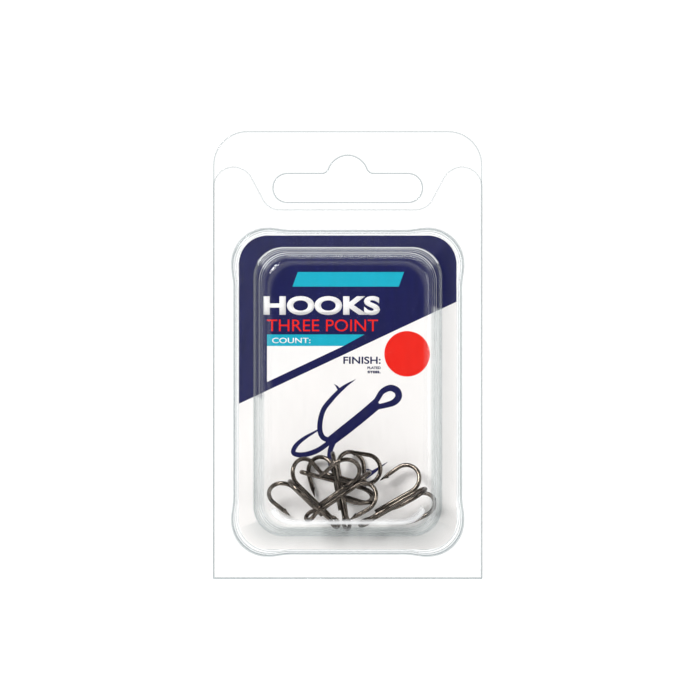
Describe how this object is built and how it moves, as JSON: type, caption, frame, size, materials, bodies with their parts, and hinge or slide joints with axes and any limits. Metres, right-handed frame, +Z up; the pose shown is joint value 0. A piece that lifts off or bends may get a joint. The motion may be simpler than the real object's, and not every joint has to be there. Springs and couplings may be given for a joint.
{
  "type": "treble hook retail pack",
  "caption": "Clear hinged clamshell with a hang slot and a printed card, holding a loose tangled heap of small round-bend treble hooks.",
  "frame": {"origin": "top of the hang slot, where a display peg bears, on the back face of the back half", "axes": "+Z up the pack, +X to the right seen from the front, the dome bulges towards -Y"},
  "size_m": [0.0574, 0.0172, 0.096],
  "materials": {
    "clear_pet": "clear thermoformed sheet, glossy",
    "printed_card": "coated paperboard, printed, satin",
    "black_nickel_wire": "black nickel plate over steel wire",
    "braze": "plated solder fillet"
  },
  "bodies": {
    "root": {"back_half": "clear_pet", "living_hinge": "clear_pet", "insert_card": "printed_card"},
    "front": {"front_shell": "clear_pet"},
    "treble_1": {"treble_1_double_hook": "black_nickel_wire", "treble_1_third_hook": "black_nickel_wire", "treble_1_braze": "braze"},
    "treble_2": {"treble_2_double_hook": "black_nickel_wire", "treble_2_third_hook": "black_nickel_wire", "treble_2_braze": "braze"},
    "treble_3": {"treble_3_double_hook": "black_nickel_wire", "treble_3_third_hook": "black_nickel_wire", "treble_3_braze": "braze"},
    "treble_4": {"treble_4_double_hook": "black_nickel_wire", "treble_4_third_hook": "black_nickel_wire", "treble_4_braze": "braze"},
    "treble_5": {"treble_5_double_hook": "black_nickel_wire", "treble_5_third_hook": "black_nickel_wire", "treble_5_braze": "braze"}
  },
  "joints": [
    {"name": "clamshell_hinge", "type": "hinge", "parent": "root", "child": "front", "pos_m": [0, -0.00055, -0.0907], "axis": [1, 0, 0], "range_deg": [0, 180]},
    {"name": "treble_1_slide", "type": "slide", "parent": "front", "child": "treble_1", "axis": [0, 0, 1], "range_m": [0, 0.0405]},
    {"name": "treble_2_slide", "type": "slide", "parent": "front", "child": "treble_2", "axis": [0, 0, 1], "range_m": [0, 0.0405]},
    {"name": "treble_3_slide", "type": "slide", "parent": "front", "child": "treble_3", "axis": [0, 0, 1], "range_m": [0, 0.0405]},
    {"name": "treble_4_slide", "type": "slide", "parent": "front", "child": "treble_4", "axis": [0, 0, 1], "range_m": [0, 0.0405]},
    {"name": "treble_5_slide", "type": "slide", "parent": "front", "child": "treble_5", "axis": [0, 0, 1], "range_m": [0, 0.0405]}
  ],
  "couplings": [
    {"joint": "treble_2_slide", "follows": "treble_1_slide", "ratio": 1},
    {"joint": "treble_3_slide", "follows": "treble_1_slide", "ratio": 1},
    {"joint": "treble_4_slide", "follows": "treble_1_slide", "ratio": 1},
    {"joint": "treble_5_slide", "follows": "treble_1_slide", "ratio": 1}
  ]
}
